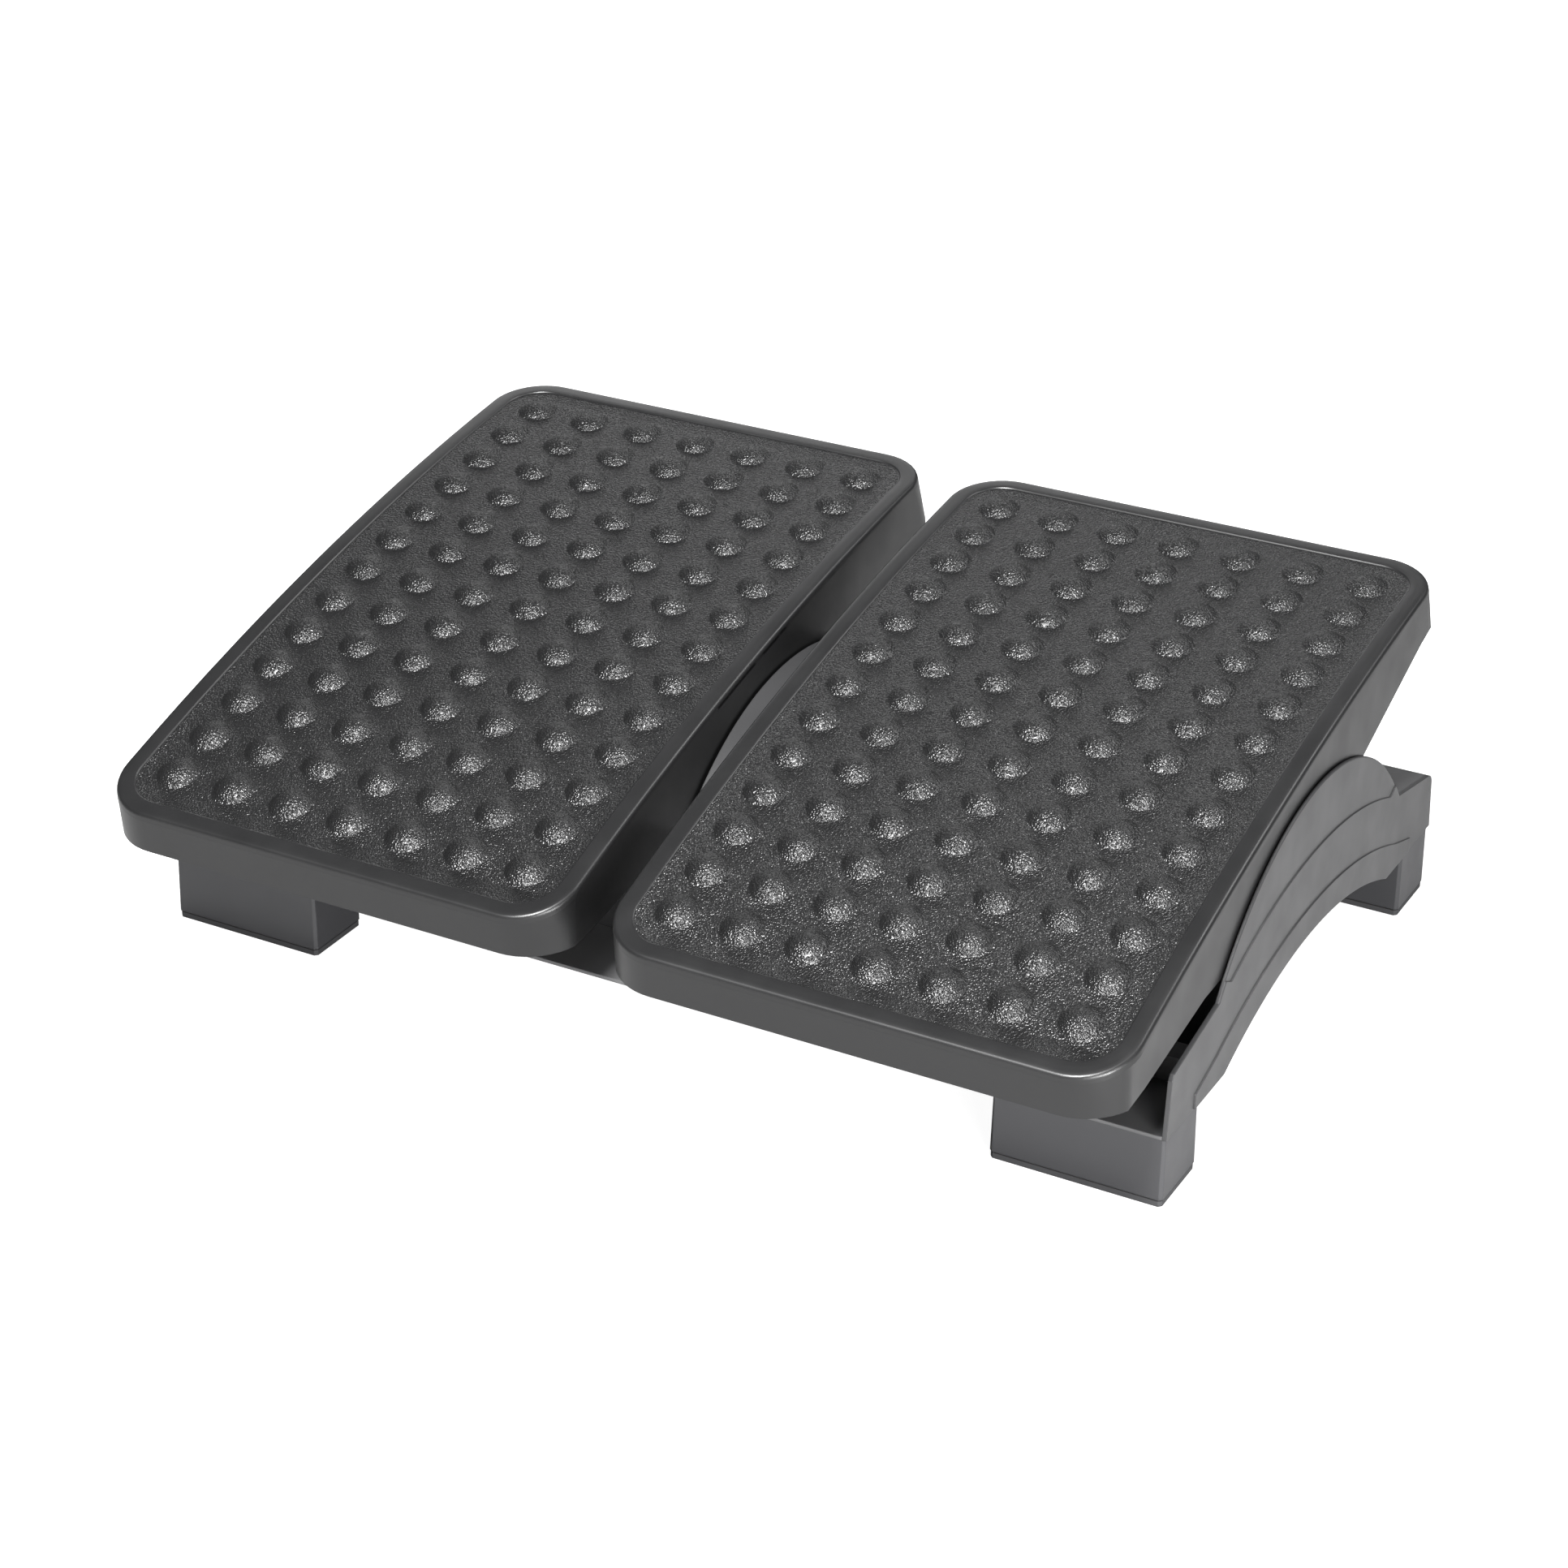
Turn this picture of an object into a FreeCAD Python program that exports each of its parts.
import FreeCAD, Part
import math
import os
import Sketcher
from FreeCAD import Placement, Rotation, Vector

# Tilting under-desk footrest: a low base with arched side cheeks and a narrow centre
# support carries one steel rod, and two moulded platforms tilt on that rod by themselves.
# Millimetres. X runs across the footrest, Y from the toe edge to the heel side's far edge,
# Z up. Sizes along Y are measured from the front face of the base, and every piece is then
# shifted so that the middle of the whole footrest lies on Y = 0.

doc = FreeCAD.newDocument("tilting_footrest")

SIZES = [
    ("middle_from_front", 129.4, "front face of the base to the middle of the footrest"),
    ("base_depth", 312.2, "front to back of the base"),
    ("rest_tilt", 13.27, "tilt of both platforms as shown, degrees"),
    ("pivot_y", 155.5, "rod axis from the front face of the base"),
    ("pivot_z", 100.0, "rod axis above the floor"),
    ("pad_thick", 3.2, "rubber foot pad"),
    ("pad_inset", 0.3, "pad edge inside the leg edge"),
    ("deck_level", 31.6, "top of the legs, underside of rails and cheeks"),
    ("leg_inner", 167.1, "inner face of a leg from the middle plane"),
    ("leg_outer", 243.8, "outer face of a leg from the middle plane"),
    ("leg_depth", 35.0, "front to back of a leg at its foot"),
    ("leg_corner", 1.4, "corner chamfer of a leg"),
    ("leg_draft", 1.0, "draft of the leg sides, degrees"),
    ("leg_rear_y", 276.5, "front face of the rear legs"),
    ("leg_top_wall", 4.0, "plastic above the screw wells"),
    ("well_radius", 5.0, "screw well in a leg"),
    ("screw_in", 18.0, "leg screw behind the leg front face"),
    ("screw_radius", 2.0, "screw shank"),
    ("screw_slack", 0.2, "screw hole wider than the shank, on the radius"),
    ("screw_head", 3.6, "radius of a screw head"),
    ("head_height", 2.4, "height of a screw head"),
    ("thread_depth", 8.0, "screw in its boss"),
    ("boss_radius", 4.5, "screw boss"),
    ("boss_floor", 2.0, "boss past the screw end"),
    ("seat_gap", 0.1, "gap where two fixed pieces only meet"),
    ("rail_plate", 1.6, "front rail plate"),
    ("rail_depth", 38.0, "front rail, front to back"),
    ("rail_rib", 2.0, "ribs under the front rail"),
    ("rail_web_front", 20.0, "front web of the rail"),
    ("rail_web_level", 22.0, "lowest level of the rail webs"),
    ("rail_web_end", 164.0, "end of the rail webs from the middle plane"),
    ("rail_rib_pitch", 36.0, "pitch of the rail cross ribs"),
    ("ear_inner", 210.0, "inner side of the rail ear under the cheek lug"),
    ("ear_depth", 14.0, "rail ear behind the rail"),
    ("cheek_outer", 244.0, "outer face of a cheek from the middle plane"),
    ("cheek_wall", 2.0, "cheek wall"),
    ("cheek_edge", 0.5, "chamfer of the cheek top edge"),
    ("band_step", 0.6, "step between the bands of a cheek"),
    ("nose_low_y", 2.3, "front edge of the cheek at its top"),
    ("nose_low_z", 58.0, "height of the cheek front edge"),
    ("nose_top_y", 3.9, "start of the cheek front slope"),
    ("nose_top_z", 60.7, "height of the start of the slope"),
    ("kink_front_y", 48.9, "front foot of the cheek dome"),
    ("kink_rear_y", 262.5, "rear foot of the cheek dome"),
    ("dome_radius", 133.5, "radius of the cheek dome, round a point under the rod"),
    ("dome_top_z", 122.9, "top of the cheek dome"),
    ("tail_top_y", 302.3, "end of the rear slope"),
    ("tail_top_z", 61.1, "height of the end of the rear slope"),
    ("tail_back_y", 309.2, "back face at the top"),
    ("tail_back_z", 56.0, "height of the top of the back face"),
    ("tail_round", 7.0, "rounding of the top rear edge"),
    ("arch_half", 96.5, "half the opening of the foot arch"),
    ("arch_radius", 237.0, "radius of the foot arch"),
    ("band_one_radius", 255.0, "upper band line"),
    ("band_one_half", 94.2, "half the length of the upper band line"),
    ("band_one_z", 74.0, "height of the ends of the upper band line"),
    ("band_flare", 7.0, "run of the upper band line past its ends"),
    ("band_two_radius", 278.0, "lower band line"),
    ("band_two_half", 106.1, "half the length of the lower band line"),
    ("band_two_z", 45.0, "height of the ends of the lower band line"),
    ("band_tail_half", 127.5, "half the length of the lower border"),
    ("band_tail_z", 38.4, "height of the lower border at its ends"),
    ("flange_width", 30.0, "flange along the foot arch"),
    ("flange_thick", 2.0, "thickness of that flange"),
    ("cheek_rib_pitch", 26.0, "pitch of the cheek ribs"),
    ("cheek_rib_top", 64.0, "top of the cheek ribs"),
    ("cheek_rib_depth", 9.0, "depth of the cheek ribs"),
    ("hub_radius", 13.0, "rod socket on the cheek"),
    ("hub_length", 7.0, "length of that socket"),
    ("lug_front", 40.0, "front of the cheek lug"),
    ("lug_depth", 12.0, "cheek lug, front to back"),
    ("lug_inner", 214.0, "inner side of the cheek lug"),
    ("lug_height", 12.0, "height of the cheek lug"),
    ("tail_screw_y", 287.0, "cheek screw into the rear rail"),
    ("tail_screw_z", 44.0, "height of that screw"),
    ("tail_boss_length", 6.0, "cheek boss let into the rear rail"),
    ("rear_rail_front", 262.0, "front wall of the rear rail"),
    ("rear_rail_wall", 2.5, "walls of the rear rail"),
    ("cell_width", 37.0, "cells under the rear rail"),
    ("cell_pitch", 39.0, "pitch of those cells"),
    ("cell_roof", 55.0, "roof of the cells"),
    ("support_half", 9.0, "half the width of the centre support"),
    ("support_front", 38.0, "front face of the centre support"),
    ("support_foot_y", 56.0, "front foot of its dome"),
    ("support_web", 4.0, "web of the centre support"),
    ("support_flange", 5.0, "flange round the centre support"),
    ("support_nose_z", 52.0, "height of its front face"),
    ("support_hub", 16.0, "hub of the centre support"),
    ("rod_radius", 4.0, "pivot rod"),
    ("rod_fit", 0.03, "rod in its sockets, on the radius"),
    ("rod_socket_skin", 1.4, "cheek wall outside the rod end, before the band step"),
    ("rod_end_gap", 0.2, "rod end to the socket floor"),
    ("bush_running", 0.05, "rod in its bushes, on the radius"),
    ("bush_radius", 6.0, "outer radius of a bush"),
    ("bush_seat", 0.02, "bush in its bore, on the radius"),
    ("bush_recess", 0.3, "bush end inside its bore"),
    ("ring_gap", 0.1, "friction ring to the base"),
    ("ring_bore_gap", 0.4, "friction ring to the rod, on the radius"),
    ("plate_inner", 10.0, "inner edge of a platform from the middle plane"),
    ("lip_inset", 0.9, "outer edge of a platform inside the cheek face"),
    ("plate_front", 207.2, "front edge of a platform before the rod"),
    ("plate_rear", 154.9, "rear edge of a platform behind the rod"),
    ("plate_corner", 26.0, "corner radius of a platform"),
    ("plate_flare", 4.3, "flare of the platform skirt, degrees"),
    ("rim_level", 31.6, "front edge of the rim above the rod"),
    ("crown_level", 42.4, "crown of the platform above the rod"),
    ("crown_back", -26.15, "crown behind the rod"),
    ("crown_radius", 1514.0, "radius of the arched platform"),
    ("rim_width", 8.0, "smooth rim round the grained field"),
    ("field_drop", 0.6, "field below the rim"),
    ("rim_round", 1.5, "chamfer of the outer rim edge"),
    ("rim_band", 3.4, "rim band above the outer recess"),
    ("skirt_gap", 0.7, "outer skirt face to the cheek wall"),
    ("plate_wall", 2.5, "skirt walls"),
    ("plate_deck", 3.0, "deck of a platform"),
    ("skirt_front_w", 11.9, "front skirt edge above the rod"),
    ("skirt_a_v", -178.2, "skirt edge, first point"),
    ("skirt_a_w", 7.8, "skirt edge, first level"),
    ("skirt_b_v", -119.0, "skirt edge, second point"),
    ("skirt_b_w", 4.3, "skirt edge, second level"),
    ("skirt_c_v", -92.0, "skirt edge, third point"),
    ("skirt_c_w", -1.4, "skirt edge, third level"),
    ("ear_half", 27.0, "half the width of the pivot ear"),
    ("ear_low", -20.0, "lowest edge of the pivot ear"),
    ("skirt_d_v", 58.3, "skirt edge, fourth point"),
    ("skirt_d_w", -3.2, "skirt edge, fourth level"),
    ("skirt_e_v", 129.0, "skirt edge, fifth point"),
    ("skirt_e_w", 6.7, "skirt edge, fifth level"),
    ("skirt_rear_w", 8.0, "rear skirt edge above the rod"),
    ("rib_thick", 2.0, "ribs under the deck"),
    ("rib_depth", 6.0, "depth of those ribs"),
    ("long_rib_pitch", 56.0, "pitch of the ribs along a platform"),
    ("cross_rib_angle", 2.2, "pitch of the ribs across it, degrees round the crown"),
    ("cup_radius", 16.0, "cup round the cheek socket"),
    ("cup_wall", 2.5, "wall of that cup"),
    ("cup_gap", 1.2, "cup floor to the socket end"),
    ("cup_length", 12.5, "outer bearing past the cup floor"),
    ("inner_tube_radius", 13.0, "inner bearing tube"),
    ("inner_tube_length", 14.0, "inner bearing tube from the platform edge"),
    ("ring_pocket_radius", 11.0, "pocket of the inner friction ring"),
    ("ring_pocket_depth", 1.2, "depth of that pocket"),
    ("ring_side_gap", 0.4, "friction ring to its pocket or cup"),
    ("dome_column_first", 36.3, "first column of massage domes from the middle plane"),
    ("dome_pitch_x", 30.0, "pitch of the columns"),
    ("dome_pitch_v", 25.59, "pitch of the rows round the crown"),
    ("dome_base", 8.8, "radius of a dome at the field"),
    ("dome_top", 4.2, "radius of the flat top of a dome"),
    ("dome_height", 3.4, "height of a dome over the field"),
    ("dome_root", 0.5, "dome let into the deck"),
]
DOME_COLUMNS = 7
DOME_ROWS = 13
DOME_SIDES = 6
SMALL_HOLE_SIDES = 8
SCREW_HEAD_SIDES = 6
HUB_SIDES = 12
LONG_RIBS = 3
CROSS_RIBS = 5

sheet = doc.addObject("Spreadsheet::Sheet", "Sizes")
for row, (name, value, note) in enumerate(SIZES, start=1):
    sheet.set("A%d" % row, name)
    sheet.set("B%d" % row, str(value))
    sheet.set("C%d" % row, note)
    sheet.setAlias("B%d" % row, name)
doc.recompute()


class Size:
    """A length or angle that keeps its value and the sheet expression behind it."""

    def __init__(self, value, text):
        self.value = float(value)
        self.text = text

    def __add__(self, other):
        other = as_size(other)
        return Size(self.value + other.value, "(%s + %s)" % (self.text, other.text))

    def __sub__(self, other):
        other = as_size(other)
        return Size(self.value - other.value, "(%s - %s)" % (self.text, other.text))

    def __mul__(self, other):
        other = as_size(other)
        return Size(self.value * other.value, "(%s * %s)" % (self.text, other.text))

    def __truediv__(self, other):
        other = as_size(other)
        return Size(self.value / other.value, "(%s / %s)" % (self.text, other.text))

    def __neg__(self):
        return Size(-self.value, "(0 - %s)" % self.text)

    __radd__ = __add__

    def __rmul__(self, other):
        return self * other

    def __rsub__(self, other):
        return as_size(other) - self

    def root(self):
        return Size(math.sqrt(self.value), "sqrt(%s)" % self.text)

    def sine(self):
        return Size(math.sin(math.radians(self.value)), "sin(%s * 1deg)" % self.text)

    def cosine(self):
        return Size(math.cos(math.radians(self.value)), "cos(%s * 1deg)" % self.text)


def as_size(number):
    if isinstance(number, Size):
        return number
    return Size(number, repr(float(number)))


def at(name):
    return Size(sheet.get(name), "Sizes." + name)


def bind(thing, prop, size):
    thing.setExpression(prop, as_size(size).text)


# Sketch and feature helpers

def sketch_on(body, name, plane, shift=0.0):
    """An empty sketch on one of the body's own origin planes, moved along its normal."""
    sketch = body.newObject("Sketcher::SketchObject", name)
    for feature in body.Origin.OriginFeatures:
        if feature.Role == plane:
            sketch.AttachmentSupport = [(feature, "")]
    sketch.MapMode = "FlatFace"
    shift = as_size(shift)
    sketch.AttachmentOffset = Placement(Vector(0, 0, shift.value), Rotation())
    bind(sketch, ".AttachmentOffset.Base.z", shift)
    return sketch


def pin(sketch, geometry, point, x, y):
    """Ties a point of the sketch to its two distances from the sketch origin."""
    for kind, distance in (("DistanceX", as_size(x)), ("DistanceY", as_size(y))):
        place = Sketcher.Constraint(kind, -1, 1, geometry, point, distance.value)
        number = sketch.addConstraint(place)
        bind(sketch, "Constraints[%d]" % number, distance)


def profile(sketch, corners, arcs=None):
    """A closed outline, anticlockwise. arcs gives a side's radius and +1 to bulge out, -1 in."""
    arcs = arcs or {}
    corners = [(as_size(x), as_size(y)) for x, y in corners]
    count = len(corners)
    first = sketch.GeometryCount
    ends = []
    for side in range(count):
        start = Vector(corners[side][0].value, corners[side][1].value, 0)
        stop = Vector(corners[(side + 1) % count][0].value, corners[(side + 1) % count][1].value, 0)
        if side not in arcs:
            sketch.addGeometry(Part.LineSegment(start, stop))
            ends.append((1, 2))
            continue
        radius, bulge = arcs[side]
        radius = as_size(radius)
        chord = stop - start
        across = Vector(-chord.y, chord.x, 0).normalize() * bulge
        rise = math.sqrt(radius.value ** 2 - (chord.Length / 2) ** 2)
        centre = (start + stop) * 0.5 + across * rise
        begin, end = (start, stop) if bulge > 0 else (stop, start)
        angle_a = math.atan2(begin.y - centre.y, begin.x - centre.x)
        angle_b = math.atan2(end.y - centre.y, end.x - centre.x)
        if angle_b <= angle_a:
            angle_b += 2 * math.pi
        circle = Part.Circle(centre, Vector(0, 0, 1), radius.value)
        sketch.addGeometry(Part.ArcOfCircle(circle, angle_a, angle_b))
        number = sketch.addConstraint(Sketcher.Constraint("Radius", first + side, radius.value))
        bind(sketch, "Constraints[%d]" % number, radius)
        ends.append((1, 2) if bulge > 0 else (2, 1))
    for side in range(count):
        other = (side + 1) % count
        sketch.addConstraint(
            Sketcher.Constraint("Coincident", first + side, ends[side][1], first + other, ends[other][0]))
    for side in range(count):
        pin(sketch, first + side, ends[side][0], *corners[side])


def box(sketch, x0, y0, x1, y1):
    profile(sketch, [(x0, y0), (x1, y0), (x1, y1), (x0, y1)])


def cut_corners(x0, y0, x1, y1, size):
    x0, y0, x1, y1 = as_size(x0), as_size(y0), as_size(x1), as_size(y1)
    return [
        (x0 + size, y0), (x1 - size, y0), (x1, y0 + size), (x1, y1 - size),
        (x1 - size, y1), (x0 + size, y1), (x0, y1 - size), (x0, y0 + size),
    ]


def chamfered_box(sketch, x0, y0, x1, y1, size):
    profile(sketch, cut_corners(x0, y0, x1, y1, size))


def rounded_box(sketch, x0, y0, x1, y1, radius):
    corner_arc = (radius, 1)
    profile(sketch, cut_corners(x0, y0, x1, y1, radius),
            {1: corner_arc, 3: corner_arc, 5: corner_arc, 7: corner_arc})


def disc(sketch, x, y, radius):
    radius = as_size(radius)
    x, y = as_size(x), as_size(y)
    centre = Vector(x.value, y.value, 0)
    number = sketch.addGeometry(Part.Circle(centre, Vector(0, 0, 1), radius.value))
    pin(sketch, number, 3, x, y)
    rule = sketch.addConstraint(Sketcher.Constraint("Radius", number, radius.value))
    bind(sketch, "Constraints[%d]" % rule, radius)


def many_sided(sketch, x, y, radius, sides=SMALL_HOLE_SIDES):
    """A regular outline for small repeated holes, bosses and shanks, to keep their faces few."""
    x, y = as_size(x), as_size(y)
    corners = []
    for number in range(sides):
        angle = 2 * math.pi * (number + 0.5) / sides
        corners.append((x + as_size(radius) * math.cos(angle), y + as_size(radius) * math.sin(angle)))
    profile(sketch, corners)


def extrude(body, kind, sketch, length, way="forward", taper=None):
    """A Pad or Pocket. way is forward (along the normal), backward or both (half each way)."""
    feature = body.newObject("PartDesign::" + kind, sketch.Name + "_" + kind.lower())
    feature.Profile = sketch
    length = as_size(length)
    feature.Length = length.value
    bind(feature, "Length", length)
    feature.SideType = "Symmetric" if way == "both" else "One side"
    feature.Reversed = (way == "backward") if kind == "Pad" else (way == "forward")
    if taper is not None:
        feature.TaperAngle = taper.value
        bind(feature, "TaperAngle", taper)
    sketch.Visibility = False
    body.Tip = feature
    return feature


def pad(body, sketch, length, way="forward", taper=None):
    return extrude(body, "Pad", sketch, length, way, taper)


def pocket(body, sketch, length, way="forward"):
    return extrude(body, "Pocket", sketch, length, way)


def bevel(body, base, size, wanted):
    """Chamfers the edges of a feature that the test wanted(edge) picks."""
    doc.recompute()
    names = ["Edge%d" % (i + 1) for i, edge in enumerate(base.Shape.Edges) if wanted(edge)]
    feature = body.newObject("PartDesign::Chamfer", base.Name + "_bevel")
    feature.Base = (base, names)
    feature.Size = as_size(size).value
    bind(feature, "Size", size)
    body.Tip = feature
    return feature


def new_body(label, y=0.0, z=0.0):
    """A body in the base frame: Y from the front face of the base, Z from the floor."""
    body = doc.addObject("PartDesign::Body", label)
    body.Label = label
    back = as_size(y) - at("middle_from_front")
    bind(body, ".Placement.Base.y", back)
    bind(body, ".Placement.Base.z", as_size(z))
    return body


def mirror(source, label):
    """The same piece on the left of the middle plane."""
    twin = doc.addObject("Part::Mirroring", label)
    twin.Label = label
    twin.Source = source
    twin.Base = Vector(0, 0, 0)
    twin.Normal = Vector(1, 0, 0)
    return twin


NODES = []


def keep(thing):
    NODES.append(thing)
    return thing


def keep_pair(body, left_label):
    keep(body)
    keep(mirror(body, left_label))


# Legs and their rubber pads

leg_screw_x = (at("leg_inner") + at("leg_outer")) / 2


def make_foot_pad(label, front):
    body = new_body(label, front)
    plan = sketch_on(body, label + "_plan", "XY_Plane")
    inset = at("pad_inset")
    chamfered_box(plan, at("leg_inner") + inset, inset, at("leg_outer") - inset,
                  at("leg_depth") - inset, at("leg_corner"))
    pad(body, plan, at("pad_thick"))
    return body


def make_leg(label, front):
    body = new_body(label, front)
    plan = sketch_on(body, label + "_plan", "XY_Plane", at("pad_thick"))
    chamfered_box(plan, at("leg_inner"), 0, at("leg_outer"), at("leg_depth"), at("leg_corner"))
    height = at("deck_level") - at("pad_thick")
    pad(body, plan, height, taper=-at("leg_draft"))
    wells = sketch_on(body, label + "_wells", "XY_Plane", at("pad_thick"))
    holes = sketch_on(body, label + "_holes", "XY_Plane", at("pad_thick"))
    many_sided(wells, leg_screw_x, at("screw_in"), at("well_radius"))
    many_sided(holes, leg_screw_x, at("screw_in"), at("screw_radius") + at("screw_slack"))
    pocket(body, wells, height - at("leg_top_wall"))
    pocket(body, holes, height)
    return body


keep_pair(make_foot_pad("front_right_foot_pad", 0), "front_left_foot_pad")
keep_pair(make_foot_pad("rear_right_foot_pad", at("leg_rear_y")), "rear_left_foot_pad")
keep_pair(make_leg("front_right_leg", 0), "front_left_leg")
keep_pair(make_leg("rear_right_leg", at("leg_rear_y")), "rear_left_leg")

dome_z = at("dome_top_z") - at("dome_radius")


def dome_level(along, inset=0.0):
    """Height of the dome line of the cheeks and the centre support, less a depth."""
    reach = at("dome_radius") - inset
    away = as_size(along) - at("pivot_y")
    return dome_z + (reach * reach - away * away).root()


kink_front = (at("kink_front_y"), dome_level(at("kink_front_y")))
kink_rear = (at("kink_rear_y"), dome_level(at("kink_rear_y")))
cheek_inner = at("cheek_outer") - at("cheek_wall")
plate_outer = at("cheek_outer") - at("lip_inset")
skirt_outer = cheek_inner - at("skirt_gap")
plate_top = at("deck_level") + at("rail_plate")
hole_radius = at("screw_radius") + at("screw_slack")
boss_height = at("thread_depth") + at("boss_floor")

# Front rail: a thin plate over the front legs, stiffened underneath

front_rail = new_body("front_rail")
plan = sketch_on(front_rail, "rail_plan", "XY_Plane", at("deck_level"))
ear_back = at("rail_depth") + at("ear_depth")
ear_outer = cheek_inner - at("seat_gap")
profile(plan, [
    (-cheek_inner, 0), (cheek_inner, 0), (cheek_inner, at("rail_depth")),
    (ear_outer, at("rail_depth")), (ear_outer, ear_back), (at("ear_inner"), ear_back),
    (at("ear_inner"), at("rail_depth")), (-at("ear_inner"), at("rail_depth")),
    (-at("ear_inner"), ear_back), (-ear_outer, ear_back), (-ear_outer, at("rail_depth")),
    (-cheek_inner, at("rail_depth")),
])
pad(front_rail, plan, at("rail_plate"))
webs = sketch_on(front_rail, "rail_webs", "XY_Plane", at("deck_level"))
web_end = at("rail_web_end")
box(webs, -web_end, at("rail_web_front"), web_end, at("rail_web_front") + at("rail_rib"))
box(webs, -web_end, at("rail_depth") - at("rail_rib"), web_end, at("rail_depth"))
web_height = at("deck_level") - at("rail_web_level")
pad(front_rail, webs, web_height, "backward")
rib = sketch_on(front_rail, "rail_rib_plan", "XY_Plane", at("deck_level"))
rib_span = at("rail_rib_pitch") * 8
box(rib, -rib_span / 2 - at("rail_rib") / 2, at("rail_web_front"),
    -rib_span / 2 + at("rail_rib") / 2, at("rail_depth"))
rib_pad = pad(front_rail, rib, web_height - at("rail_rib"), "backward")
ribs = front_rail.newObject("PartDesign::LinearPattern", "rail_ribs")
ribs.Originals = [rib_pad]
ribs.Direction = (rib, ["H_Axis"])
ribs.Length = rib_span.value
bind(ribs, "Length", rib_span)
ribs.Occurrences = 9
front_rail.Tip = ribs
bosses = sketch_on(front_rail, "rail_bosses", "XY_Plane", plate_top)
holes = sketch_on(front_rail, "rail_screw_holes", "XY_Plane", at("deck_level"))
ear_holes = sketch_on(front_rail, "rail_ear_holes", "XY_Plane", at("deck_level"))
lug_screw_x = (at("lug_inner") + cheek_inner) / 2
lug_screw_y = at("lug_front") + at("lug_depth") / 2
for sign in (-1, 1):
    many_sided(bosses, leg_screw_x * sign, at("screw_in"), at("boss_radius"))
    many_sided(holes, leg_screw_x * sign, at("screw_in"), at("screw_radius"))
    many_sided(ear_holes, lug_screw_x * sign, lug_screw_y, hole_radius)
pad(front_rail, bosses, boss_height - at("rail_plate"))
pocket(front_rail, holes, at("thread_depth"))
pocket(front_rail, ear_holes, at("rail_plate"))
front_holes = sketch_on(front_rail, "rail_centre_holes", "XZ_Plane", -at("rail_depth"))
centre_screw_x = at("support_half") / 2 + at("rail_rib") / 4
centre_screw_z = (at("rail_web_level") + at("deck_level")) / 2
for sign in (-1, 1):
    many_sided(front_holes, centre_screw_x * sign, centre_screw_z, hole_radius)
pocket(front_rail, front_holes, at("rail_rib"))
keep(front_rail)

# Rear rail: a cored beam with a sloping top

rear_rail = new_body("rear_rail")
side = sketch_on(rear_rail, "rear_rail_side", "YZ_Plane")
profile(side, [
    (at("rear_rail_front"), at("deck_level")), (at("base_depth"), at("deck_level")),
    (at("tail_back_y"), at("tail_back_z")), (at("tail_top_y"), at("tail_top_z")),
    kink_rear, (at("rear_rail_front"), kink_rear[1]),
], {2: (at("tail_round"), 1)})
pad(rear_rail, side, cheek_inner * 2, "both")
cell = sketch_on(rear_rail, "rear_rail_cell", "XY_Plane", at("deck_level"))
cell_span = at("cell_pitch") * 11
half_cell = at("cell_width") / 2
wall = at("rear_rail_wall")
box(cell, -cell_span / 2 - half_cell, at("rear_rail_front") + wall,
    -cell_span / 2 + half_cell, at("tail_back_y") - wall)
cell_cut = pocket(rear_rail, cell, at("cell_roof") - at("deck_level"))
cells = rear_rail.newObject("PartDesign::LinearPattern", "rear_rail_cells")
cells.Originals = [cell_cut]
cells.Direction = (cell, ["H_Axis"])
cells.Length = cell_span.value
bind(cells, "Length", cell_span)
cells.Occurrences = 12
rear_rail.Tip = cells
rear_bosses = sketch_on(rear_rail, "rear_rail_bosses", "XY_Plane", at("deck_level"))
rear_holes = sketch_on(rear_rail, "rear_rail_holes", "XY_Plane", at("deck_level"))
leg_screw_y = at("leg_rear_y") + at("screw_in")
for sign in (-1, 1):
    many_sided(rear_bosses, leg_screw_x * sign, leg_screw_y, at("boss_radius"))
    many_sided(rear_holes, leg_screw_x * sign, leg_screw_y, at("screw_radius"))
pad(rear_rail, rear_bosses, at("cell_roof") - at("deck_level"))
pocket(rear_rail, rear_holes, at("thread_depth"))
cells_end = cell_span / 2 + half_cell
for name, sign, way in (("right", 1, "backward"), ("left", -1, "forward")):
    seat = sketch_on(rear_rail, "rear_rail_seat_" + name, "YZ_Plane", cheek_inner * sign)
    many_sided(seat, at("tail_screw_y"), at("tail_screw_z"), at("boss_radius") + at("seat_gap"))
    pocket(rear_rail, seat, at("tail_boss_length") + at("seat_gap"), way)
    tail_hole = sketch_on(rear_rail, "rear_rail_end_hole_" + name, "YZ_Plane", cheek_inner * sign)
    many_sided(tail_hole, at("tail_screw_y"), at("tail_screw_z"), hole_radius)
    pocket(rear_rail, tail_hole, cheek_inner - cells_end, way)
wall_holes = sketch_on(rear_rail, "rear_rail_centre_holes", "XZ_Plane", -at("rear_rail_front"))
for sign in (-1, 1):
    many_sided(wall_holes, centre_screw_x * sign, at("tail_screw_z"), hole_radius)
pocket(rear_rail, wall_holes, wall, "backward")
keep(rear_rail)

# Cheeks: thin domed side walls with stepped bands over a low foot arch

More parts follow.
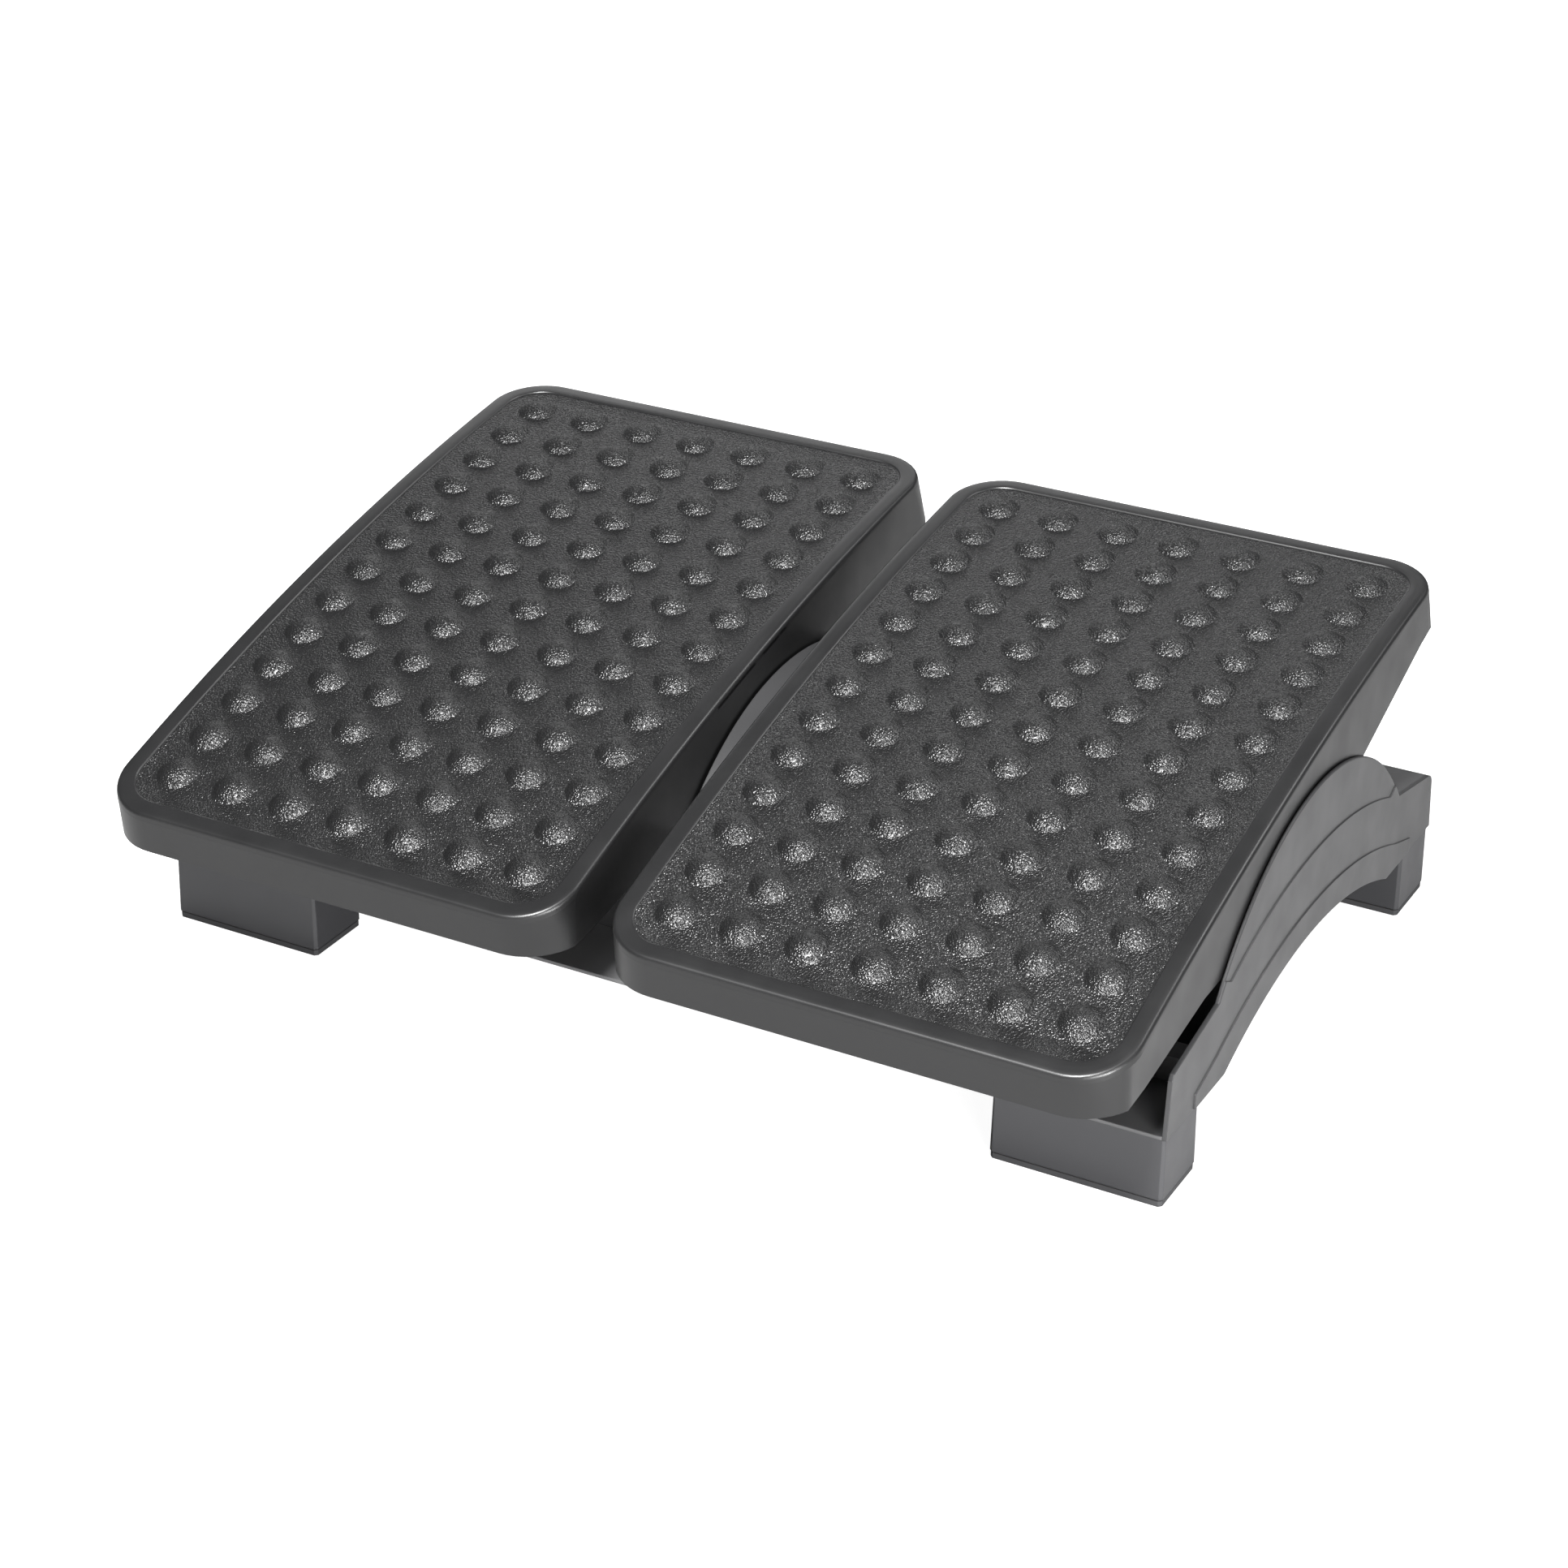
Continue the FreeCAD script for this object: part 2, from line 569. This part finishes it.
cheek = new_body("right_cheek")
outline = sketch_on(cheek, "cheek_outline", "YZ_Plane", cheek_inner)
arch_front = at("pivot_y") - at("arch_half")
arch_rear = at("pivot_y") + at("arch_half")
profile(outline, [
    (0, at("deck_level")), (arch_front, at("deck_level")), (arch_rear, at("deck_level")),
    (at("base_depth"), at("deck_level")), (at("tail_back_y"), at("tail_back_z")),
    (at("tail_top_y"), at("tail_top_z")), kink_rear, kink_front,
    (at("nose_top_y"), at("nose_top_z")),
    (at("nose_low_y"), at("nose_low_z")),
], {1: (at("arch_radius"), -1), 4: (at("tail_round"), 1), 6: (at("dome_radius"), 1)})
pad(cheek, outline, at("cheek_wall"))
upper = sketch_on(cheek, "cheek_upper_band", "YZ_Plane", at("cheek_outer"))
above = at("pivot_z") * 2
step_y = at("band_flare")
profile(upper, [
    (at("pivot_y") - at("band_one_half"), at("band_one_z")),
    (at("pivot_y") + at("band_one_half"), at("band_one_z")),
    (at("pivot_y") + at("band_one_half") + step_y, at("band_one_z") + step_y / 2),
    (at("pivot_y") + at("band_one_half") + step_y, above),
    (at("pivot_y") - at("band_one_half") - step_y, above),
    (at("pivot_y") - at("band_one_half") - step_y, at("band_one_z") + step_y / 2),
], {0: (at("band_one_radius"), -1)})
pocket(cheek, upper, at("band_step"), "backward")
lower = sketch_on(cheek, "cheek_lower_band", "YZ_Plane", at("cheek_outer"))
profile(lower, [
    (at("pivot_y") - at("band_tail_half"), at("deck_level")),
    (arch_front, at("deck_level")), (arch_rear, at("deck_level")),
    (at("pivot_y") + at("band_tail_half"), at("deck_level")),
    (at("pivot_y") + at("band_tail_half"), at("band_tail_z")),
    (at("pivot_y") + at("band_two_half"), at("band_two_z")),
    (at("pivot_y") - at("band_two_half"), at("band_two_z")),
    (at("pivot_y") - at("band_tail_half"), at("band_tail_z")),
], {1: (at("arch_radius"), -1), 5: (at("band_two_radius"), 1)})
lower_band = pad(cheek, lower, at("band_step"))


def on_cheek_top(edge):
    """Outer edges along the top of the cheek wall."""
    box_of = edge.BoundBox
    outside = box_of.XMin > at("cheek_outer").value - at("band_step").value - 0.01
    flat = box_of.XMax - box_of.XMin < 0.01
    outer = False
    if outside and flat and box_of.ZMax > at("nose_top_z").value - 0.5:
        middle = edge.valueAt((edge.FirstParameter + edge.LastParameter) / 2)
        reach = math.hypot(middle.y - at("pivot_y").value, middle.z - dome_z.value)
        outer = abs(reach - at("dome_radius").value) < 1.0
    return outer


bevel(cheek, lower_band, at("cheek_edge"), on_cheek_top)
flange = sketch_on(cheek, "cheek_flange", "YZ_Plane", cheek_inner)
thick = at("flange_thick")
flange_half = (at("arch_half") * at("arch_half") + thick * at("arch_radius") * 2 + thick * thick).root()
profile(flange, [
    (arch_front, at("deck_level")), (arch_rear, at("deck_level")),
    (at("pivot_y") + flange_half, at("deck_level")), (at("pivot_y") - flange_half, at("deck_level")),
], {0: (at("arch_radius"), -1), 2: (at("arch_radius") + thick, 1)})
pad(cheek, flange, at("flange_width"), "backward")
rib_plan = sketch_on(cheek, "cheek_ribs", "YZ_Plane", cheek_inner)
arch_rise = at("arch_radius") - (at("arch_radius") * at("arch_radius") - at("arch_half") * at("arch_half")).root()
rib_foot = at("deck_level") + arch_rise - at("flange_thick")
for step in (-1, 0, 1):
    middle = at("pivot_y") + at("cheek_rib_pitch") * step
    box(rib_plan, middle - at("rail_rib") / 2, rib_foot + thick / 2,
        middle + at("rail_rib") / 2, at("cheek_rib_top"))
pad(cheek, rib_plan, at("cheek_rib_depth"), "backward")
hub = sketch_on(cheek, "cheek_hub", "YZ_Plane", cheek_inner)
many_sided(hub, at("pivot_y"), at("pivot_z"), at("hub_radius"), HUB_SIDES)
pad(cheek, hub, at("hub_length"), "backward")
tail_boss = sketch_on(cheek, "cheek_tail_boss", "YZ_Plane", cheek_inner)
many_sided(tail_boss, at("tail_screw_y"), at("tail_screw_z"), at("boss_radius"))
pad(cheek, tail_boss, at("tail_boss_length"), "backward")
lug = sketch_on(cheek, "cheek_lug", "XY_Plane", plate_top)
box(lug, at("lug_inner"), at("lug_front"), cheek_inner + at("cheek_wall") / 2,
    at("lug_front") + at("lug_depth"))
pad(cheek, lug, at("lug_height"))
socket = sketch_on(cheek, "cheek_socket", "YZ_Plane", cheek_inner - at("hub_length"))
disc(socket, at("pivot_y"), at("pivot_z"), at("rod_radius") + at("rod_fit"))
socket_depth = at("hub_length") + at("cheek_wall") - at("band_step") - at("rod_socket_skin")
pocket(cheek, socket, socket_depth)
lug_hole = sketch_on(cheek, "cheek_lug_hole", "XY_Plane", plate_top)
many_sided(lug_hole, lug_screw_x, lug_screw_y, at("screw_radius"))
pocket(cheek, lug_hole, at("thread_depth"))
tail_hole = sketch_on(cheek, "cheek_tail_hole", "YZ_Plane", cheek_inner - at("tail_boss_length"))
many_sided(tail_hole, at("tail_screw_y"), at("tail_screw_z"), at("screw_radius"))
pocket(cheek, tail_hole, at("tail_boss_length"))
keep_pair(cheek, "left_cheek")

# Centre support: a flanged web between the platforms with the same dome as the cheeks

support = new_body("centre_support")
form = sketch_on(support, "support_outline", "YZ_Plane")
profile(form, [
    (at("support_front"), at("rail_web_level")),
    (at("support_front") + at("ear_depth"), at("rail_web_level")),
    (arch_front, at("deck_level")), (arch_rear, at("deck_level")),
    (at("rear_rail_front"), at("deck_level")),
    (at("rear_rail_front"), dome_level(at("rear_rail_front"))),
    (at("support_foot_y"), dome_level(at("support_foot_y"))),
    (at("support_front"), at("support_nose_z")),
], {2: (at("arch_radius"), -1), 5: (at("dome_radius"), 1)})
pad(support, form, at("support_half") * 2, "both")
rim = at("support_flange")
recess_front = at("support_foot_y") + rim * 2
recess_rear = at("rear_rail_front") - rim * 2
arch_centre_z = at("deck_level") + arch_rise - at("arch_radius")


def arch_level(along, outset):
    reach = at("arch_radius") + outset
    away = as_size(along) - at("pivot_y")
    return arch_centre_z + (reach * reach - away * away).root()


for sign, way in ((1, "backward"), (-1, "forward")):
    label = "support_recess_right" if sign > 0 else "support_recess_left"
    recess = sketch_on(support, label, "YZ_Plane", at("support_half") * sign)
    profile(recess, [
        (recess_front, arch_level(recess_front, rim)), (recess_rear, arch_level(recess_rear, rim)),
        (recess_rear, dome_level(recess_rear, rim)), (recess_front, dome_level(recess_front, rim)),
    ], {0: (at("arch_radius") + rim, -1), 2: (at("dome_radius") - rim, 1)})
    pocket(support, recess, at("support_half") - at("support_web") / 2, way)
hub = sketch_on(support, "support_hub_disc", "YZ_Plane")
many_sided(hub, at("pivot_y"), at("pivot_z"), at("support_hub"), HUB_SIDES)
pad(support, hub, at("support_half") * 2, "both")
bore = sketch_on(support, "support_bore", "YZ_Plane")
disc(bore, at("pivot_y"), at("pivot_z"), at("rod_radius") + at("rod_fit"))
pocket(support, bore, at("support_half") * 2, "both")
foot_holes = sketch_on(support, "support_front_holes", "XZ_Plane", -at("support_front"))
for sign in (-1, 1):
    many_sided(foot_holes, centre_screw_x * sign, centre_screw_z, at("screw_radius"))
pocket(support, foot_holes, at("thread_depth"), "backward")
back_holes = sketch_on(support, "support_rear_holes", "XZ_Plane", -at("rear_rail_front"))
for sign in (-1, 1):
    many_sided(back_holes, centre_screw_x * sign, at("tail_screw_z"), at("screw_radius"))
pocket(support, back_holes, at("thread_depth"))
keep(support)

# Pivot rod

rod = new_body("pivot_rod", at("pivot_y"), at("pivot_z"))
rod_half = cheek_inner - at("hub_length") + socket_depth - at("rod_end_gap")
rod_disc = sketch_on(rod, "rod_disc", "YZ_Plane")
disc(rod_disc, 0, 0, at("rod_radius"))
pad(rod, rod_disc, rod_half * 2, "both")
keep(rod)

# Platforms. Their own frame lies on the rod axis: Y back along the platform, Z out of it.

socket_end = cheek_inner - at("hub_length")
cup_floor = socket_end - at("cup_gap")
cup_end = cup_floor - at("cup_length")
inner_tube_end = at("plate_inner") + at("inner_tube_length")
crown_centre = at("crown_level") - at("crown_radius")
bore_radius = at("bush_radius") + at("bush_seat")


def crown_height(along, drop):
    """Level of the arched deck at a distance behind the rod, less a depth."""
    reach = at("crown_radius") - drop
    away = as_size(along) - at("crown_back")
    return crown_centre + (reach * reach - away * away).root()


def tilted(body):
    """Sets a platform piece on the rod at the tilt shown."""
    bind(body, ".Placement.Base.y", at("pivot_y") - at("middle_from_front"))
    bind(body, ".Placement.Base.z", at("pivot_z"))
    body.Placement = Placement(Vector(0, 0, 0), Rotation(Vector(1, 0, 0), at("rest_tilt").value))
    bind(body, ".Placement.Rotation.Angle", at("rest_tilt"))


platform = new_body("platform_shell")
tilted(platform)
v_front = -at("plate_front")
v_rear = at("plate_rear")
skirt_plan = sketch_on(platform, "platform_skirt", "XY_Plane", at("rim_level"))
rounded_box(skirt_plan, at("plate_inner"), v_front, plate_outer, v_rear, at("plate_corner"))
pad(platform, skirt_plan, at("rim_level") - at("ear_low"), "backward", at("plate_flare"))
rim_plan = sketch_on(platform, "platform_rim", "XY_Plane", at("rim_level"))
rounded_box(rim_plan, at("plate_inner"), v_front, plate_outer, v_rear, at("plate_corner"))
rise = at("crown_level") - at("rim_level") + at("plate_deck")
pad(platform, rim_plan, rise)

wide = plate_outer + at("plate_inner")
long_front = v_front - at("rim_width")
long_rear = v_rear + at("rim_width")
sky = at("crown_level") + at("plate_deck") * 3
top_cut = sketch_on(platform, "platform_crown", "YZ_Plane")
profile(top_cut, [
    (long_front, crown_height(long_front, 0)), (long_rear, crown_height(long_rear, 0)),
    (long_rear, sky), (long_front, sky),
], {0: (at("crown_radius"), -1)})
pocket(platform, top_cut, wide)

under = at("ear_low") * 2
low_cut = sketch_on(platform, "platform_lower_edge", "YZ_Plane")
profile(low_cut, [
    (long_front, under), (long_rear, under), (long_rear, at("skirt_rear_w")),
    (v_rear, at("skirt_rear_w")), (at("skirt_e_v"), at("skirt_e_w")),
    (at("skirt_d_v"), at("skirt_d_w")), (at("ear_half"), at("ear_low")),
    (-at("ear_half"), at("ear_low")), (at("skirt_c_v"), at("skirt_c_w")),
    (at("skirt_b_v"), at("skirt_b_w")), (at("skirt_a_v"), at("skirt_a_w")),
    (v_front, at("skirt_front_w")), (long_front, at("skirt_front_w")),
])
pocket(platform, low_cut, wide)

side_cut = sketch_on(platform, "platform_side_recess", "YZ_Plane", skirt_outer)
profile(side_cut, [
    (long_front, under), (long_rear, under),
    (long_rear, crown_height(long_rear, at("rim_band"))),
    (long_front, crown_height(long_front, at("rim_band"))),
], {2: (at("crown_radius") - at("rim_band"), 1)})
pocket(platform, side_cut, at("rim_width"))
inner_cut = sketch_on(platform, "platform_inner_face", "YZ_Plane", at("plate_inner"))
box(inner_cut, long_front, under, long_rear, sky)
inner_face = pocket(platform, inner_cut, at("rim_width"), "backward")


def on_rim(edge):
    """Outer top edges of the platform."""
    box_of = edge.BoundBox
    middle = edge.valueAt((edge.FirstParameter + edge.LastParameter) / 2)
    level = crown_height(middle.y, 0).value
    return abs(middle.z - level) < 0.05 and abs(box_of.ZMin - crown_height(box_of.YMin, 0).value) < 12


doc.recompute()
bevel(platform, inner_face, at("rim_round"), on_rim)

# Grained field, set a little below the rim
rim_width = at("rim_width")
field = sketch_on(platform, "platform_field", "XY_Plane", at("crown_level") + at("plate_deck"))
rounded_box(field, at("plate_inner") + rim_width, v_front + rim_width,
            plate_outer - rim_width, v_rear - rim_width, at("plate_corner") - rim_width)
pocket(platform, field, at("plate_deck") + at("crown_level") - at("rim_level"), "backward")
field_fill = sketch_on(platform, "platform_field_fill", "YZ_Plane", at("plate_inner") + rim_width)
field_front = v_front + rim_width
field_rear = v_rear - rim_width
base_level = at("rim_level") - at("plate_deck") / 2
profile(field_fill, [
    (field_front, base_level), (field_rear, base_level),
    (field_rear, crown_height(field_rear, at("field_drop"))),
    (field_front, crown_height(field_front, at("field_drop"))),
], {2: (at("crown_radius") - at("field_drop"), 1)})
pad(platform, field_fill, plate_outer - at("plate_inner") - rim_width * 2)

# Hollow underside
cavity_front = v_front + at("plate_wall")
cavity_rear = v_rear - at("plate_wall")
cavity_inner = at("plate_inner") + at("plate_wall")
cavity_outer = skirt_outer - at("plate_wall")
deck_depth = at("field_drop") + at("plate_deck")
roof = at("rim_level") - deck_depth
cavity = sketch_on(platform, "platform_cavity", "XY_Plane", roof)
rounded_box(cavity, cavity_inner, cavity_front, cavity_outer, cavity_rear,
            at("plate_corner") - at("plate_wall"))
pocket(platform, cavity, roof - under, "backward")
mid_front = v_front + at("plate_corner")
mid_rear = v_rear - at("plate_corner")
hollow = sketch_on(platform, "platform_deck_underside", "YZ_Plane", cavity_inner)
profile(hollow, [
    (mid_front, roof - at("plate_deck")), (mid_rear, roof - at("plate_deck")),
    (mid_rear, crown_height(mid_rear, deck_depth)), (mid_front, crown_height(mid_front, deck_depth)),
], {2: (at("crown_radius") - deck_depth, 1)})
cavity_width = cavity_outer - cavity_inner
pocket(platform, hollow, cavity_width)

# Ribs under the deck
rib_low = deck_depth + at("rib_depth")
long_rib = sketch_on(platform, "platform_long_rib", "YZ_Plane", cavity_inner + at("long_rib_pitch"))
profile(long_rib, [
    (mid_front, crown_height(mid_front, rib_low)), (mid_rear, crown_height(mid_rear, rib_low)),
    (mid_rear, crown_height(mid_rear, at("plate_deck"))),
    (mid_front, crown_height(mid_front, at("plate_deck"))),
], {0: (at("crown_radius") - rib_low, -1), 2: (at("crown_radius") - at("plate_deck"), 1)})
long_rib_pad = pad(platform, long_rib, at("rib_thick"))
long_ribs = platform.newObject("PartDesign::LinearPattern", "platform_long_ribs")
long_ribs.Originals = [long_rib_pad]
long_ribs.Direction = (skirt_plan, ["H_Axis"])
long_span = at("long_rib_pitch") * (LONG_RIBS - 1)
long_ribs.Length = long_span.value
bind(long_ribs, "Length", long_span)
long_ribs.Occurrences = LONG_RIBS
platform.Tip = long_ribs


crown_axis = sketch_on(platform, "platform_crown_axis", "YZ_Plane")
crown_axis.AttachmentOffset = Placement(
    Vector(at("crown_back").value, crown_centre.value, 0), Rotation())
bind(crown_axis, ".AttachmentOffset.Base.x", at("crown_back"))
bind(crown_axis, ".AttachmentOffset.Base.y", crown_centre)
cross_half = at("rib_thick") / 2
first_turn = at("cross_rib_angle") * ((CROSS_RIBS - 1) / 2)


def on_crown(sketch, turn, drop):
    """Lays a plan sketch on the crown, turned forward round it, a depth below the rim top."""
    reach = at("crown_radius") - drop
    back = at("crown_back") - reach * turn.sine()
    up = crown_centre + reach * turn.cosine()
    sketch.AttachmentOffset = Placement(
        Vector(0, back.value, up.value), Rotation(Vector(1, 0, 0), turn.value))
    bind(sketch, ".AttachmentOffset.Base.y", back)
    bind(sketch, ".AttachmentOffset.Base.z", up)
    bind(sketch, ".AttachmentOffset.Rotation.Angle", turn)


cross_rib = sketch_on(platform, "platform_cross_rib", "XY_Plane")
on_crown(cross_rib, first_turn, at("plate_deck"))
box(cross_rib, cavity_inner - at("plate_wall") / 2, -cross_half,
    cavity_outer + at("plate_wall") / 2, cross_half)
cross_rib_pad = pad(platform, cross_rib, rib_low - at("plate_deck"), "backward")
cross_ribs = platform.newObject("PartDesign::PolarPattern", "platform_cross_ribs")
cross_ribs.Originals = [cross_rib_pad]
cross_ribs.Axis = (crown_axis, ["N_Axis"])
cross_ribs.Angle = first_turn.value * 2
bind(cross_ribs, "Angle", first_turn * 2)
cross_ribs.Occurrences = CROSS_RIBS
cross_ribs.Reversed = True
platform.Tip = cross_ribs

# Bearings: a cup round the cheek socket outside, a tube beside the centre support inside
cup = sketch_on(platform, "platform_cup", "YZ_Plane", cup_end)
many_sided(cup, 0, 0, at("cup_radius") + at("cup_wall"), HUB_SIDES)
pad(platform, cup, skirt_outer - cup_end)
inner_tube = sketch_on(platform, "platform_inner_tube", "YZ_Plane", at("plate_inner"))
many_sided(inner_tube, 0, 0, at("inner_tube_radius"), HUB_SIDES)
pad(platform, inner_tube, at("inner_tube_length"))
cup_bore = sketch_on(platform, "platform_cup_bore", "YZ_Plane", cup_floor)
disc(cup_bore, 0, 0, at("cup_radius"))
pocket(platform, cup_bore, at("rim_width"))
outer_bore = sketch_on(platform, "platform_outer_bore", "YZ_Plane", cup_end)
disc(outer_bore, 0, 0, bore_radius)
pocket(platform, outer_bore, at("cup_length"))
inner_bore = sketch_on(platform, "platform_inner_bore", "YZ_Plane", at("plate_inner"))
disc(inner_bore, 0, 0, bore_radius)
pocket(platform, inner_bore, at("inner_tube_length"))
ring_bore = sketch_on(platform, "platform_ring_pocket", "YZ_Plane", at("plate_inner"))
disc(ring_bore, 0, 0, at("ring_pocket_radius"))
pocket(platform, ring_bore, at("ring_pocket_depth"))

# Massage domes: each a low faceted cap, set in rows across the crown and round it.
# The caps are computed from the sheet as one compound and joined to the moulded body in
# one step, since a pattern of this many features on the curved deck takes minutes.
row_angle = math.degrees(sheet.get("dome_pitch_v") / sheet.get("crown_radius"))
root = sheet.get("dome_root")
slope = (sheet.get("dome_base") - sheet.get("dome_top")) / sheet.get("dome_height")


def dome_ring(level):
    """The corners of a cap at a height over the field."""
    radius = sheet.get("dome_base") - slope * level
    turns = [2 * math.pi * number / DOME_SIDES for number in range(DOME_SIDES)]
    return [Vector(radius * math.cos(turn), radius * math.sin(turn), level) for turn in turns]


def dome_solid():
    """One cap: two rings of corners joined by flat facets, closed below and above."""
    low, high = dome_ring(-root), dome_ring(sheet.get("dome_height"))
    faces = [Part.Face(Part.makePolygon(ring + ring[:1])) for ring in (low, high)]
    for number in range(DOME_SIDES):
        following = (number + 1) % DOME_SIDES
        corners = [low[number], low[following], high[following], high[number]]
        faces.append(Part.Face(Part.makePolygon(corners + corners[:1])))
    return Part.Solid(Part.Shell(faces))


cap = dome_solid()
reach = sheet.get("crown_radius") - sheet.get("field_drop")
caps = []
for row in range(DOME_ROWS):
    turn = row_angle * ((DOME_ROWS - 1) / 2 - row)
    back = sheet.get("crown_back") - reach * math.sin(math.radians(turn))
    up = crown_centre.value + reach * math.cos(math.radians(turn))
    for column in range(DOME_COLUMNS):
        across = sheet.get("dome_column_first") + sheet.get("dome_pitch_x") * column
        copy = cap.copy()
        copy.Placement = Placement(Vector(across, back, up), Rotation(Vector(1, 0, 0), turn))
        caps.append(copy)
dome_field = doc.addObject("Part::Feature", "dome_field")
dome_field.Shape = Part.makeCompound(caps)
tilted(dome_field)
doc.recompute()
platform_with_domes = doc.addObject("Part::Feature", "right_platform")
platform_with_domes.Label = "right_platform"
platform_with_domes.Shape = platform.Shape.fuse(dome_field.Shape).removeSplitter()
if platform_with_domes.Shape.Volume < platform.Shape.Volume + cap.Volume * len(caps) / 2:
    raise ValueError("the domes are missing from the platform")
keep_pair(platform_with_domes, "left_platform")

# Bushes and friction rings, in the platform frame


def make_ring(label, inner, outer, radius, bore):
    """A turned ring along the rod from inner to outer."""
    body = doc.addObject("PartDesign::Body", label)
    body.Label = label
    tilted(body)
    section = sketch_on(body, label + "_section", "YZ_Plane", inner)
    disc(section, 0, 0, radius)
    disc(section, 0, 0, bore)
    pad(body, section, outer - inner)
    return body


bush_bore = at("rod_radius") + at("bush_running")
outer_bush = make_ring("right_outer_bush", cup_end + at("bush_recess"), cup_floor - at("bush_recess"),
                       at("bush_radius"), bush_bore)
keep_pair(outer_bush, "left_outer_bush")
pocket_floor = at("plate_inner") + at("ring_pocket_depth")
inner_bush = make_ring("right_inner_bush", pocket_floor + at("bush_recess"),
                       inner_tube_end - at("bush_recess"), at("bush_radius"), bush_bore)
keep_pair(inner_bush, "left_inner_bush")
friction_ring = make_ring("right_friction_ring", at("support_half") + at("ring_gap"),
                          pocket_floor - at("seat_gap"),
                          at("ring_pocket_radius") - at("ring_side_gap"),
                          at("rod_radius") + at("ring_bore_gap"))
keep_pair(friction_ring, "left_friction_ring")

# Screws


def add_screw(body, name, plane, shift, x, y, shank, way):
    """A hexagon-head screw: head one way from the seat plane, shank the other."""
    other = "backward" if way == "forward" else "forward"
    shank_section = sketch_on(body, name + "_shank", plane, shift)
    many_sided(shank_section, x, y, at("screw_radius") - at("seat_gap") / 2)
    pad(body, shank_section, shank, way)
    head_section = sketch_on(body, name + "_head", plane, shift)
    many_sided(head_section, x, y, at("screw_head"), SCREW_HEAD_SIDES)
    pad(body, head_section, at("head_height"), other)


def screw_body(label):
    body = new_body(label)
    body.AllowCompound = True
    return body


leg_screws = screw_body("leg_screws")
leg_seat = at("deck_level") - at("leg_top_wall")
leg_shank = at("leg_top_wall") + at("thread_depth") - at("seat_gap") * 5
for name, sign in (("right", 1), ("left", -1)):
    add_screw(leg_screws, "front_leg_screw_" + name, "XY_Plane", leg_seat,
              leg_screw_x * sign, at("screw_in"), leg_shank, "forward")
    add_screw(leg_screws, "rear_leg_screw_" + name, "XY_Plane", leg_seat,
              leg_screw_x * sign, leg_screw_y, leg_shank, "forward")
keep(leg_screws)

cheek_screws = screw_body("cheek_screws")
lug_shank = at("rail_plate") + at("thread_depth") - at("seat_gap") * 5
tail_shank = cheek_inner - cells_end - at("seat_gap") * 5
for name, sign, way in (("right", 1, "forward"), ("left", -1, "backward")):
    add_screw(cheek_screws, "lug_screw_" + name, "XY_Plane", at("deck_level"),
              lug_screw_x * sign, lug_screw_y, lug_shank, "forward")
    add_screw(cheek_screws, "tail_screw_" + name, "YZ_Plane", cells_end * sign,
              at("tail_screw_y"), at("tail_screw_z"), tail_shank, way)
keep(cheek_screws)

centre_screws = screw_body("centre_screws")
front_shank = at("rail_rib") + at("thread_depth") - at("seat_gap") * 5
rear_shank = wall + at("thread_depth") - at("seat_gap") * 5
for name, sign in (("right", 1), ("left", -1)):
    add_screw(centre_screws, "front_centre_screw_" + name, "XZ_Plane", at("rail_rib") - at("rail_depth"),
              centre_screw_x * sign, centre_screw_z, front_shank, "backward")
    add_screw(centre_screws, "rear_centre_screw_" + name, "XZ_Plane", -at("rear_rail_front") - wall,
              centre_screw_x * sign, at("tail_screw_z"), rear_shank, "forward")
keep(centre_screws)

doc.recompute()

# Every feature must hold, and every cut or pad must change its body

for thing in doc.Objects:
    if "Invalid" in thing.State or "Error" in thing.State:
        raise ValueError("feature failed: %s %s" % (thing.Name, thing.State))
    if not thing.isDerivedFrom("PartDesign::Feature") or thing.BaseFeature is None:
        continue
    before = thing.BaseFeature.Shape.Volume
    after = thing.Shape.Volume
    if thing.isDerivedFrom("PartDesign::Pocket") and after > before - 0.5:
        raise ValueError("cut without effect: " + thing.Name)
    if thing.isDerivedFrom("PartDesign::Pad") and after < before + 0.5:
        raise ValueError("pad without effect: " + thing.Name)

os.makedirs("parts", exist_ok=True)
for thing in NODES:
    if thing.Shape.isNull() or not thing.Shape.isValid():
        raise ValueError("bad shape: " + thing.Label)
    thing.Shape.exportStep("parts/%s.step" % thing.Label)
    bounds = thing.Shape.BoundBox
    print("%-28s solids %d  X %.1f %.1f  Y %.1f %.1f  Z %.1f %.1f" % (
        thing.Label, len(thing.Shape.Solids), bounds.XMin, bounds.XMax,
        bounds.YMin, bounds.YMax, bounds.ZMin, bounds.ZMax))
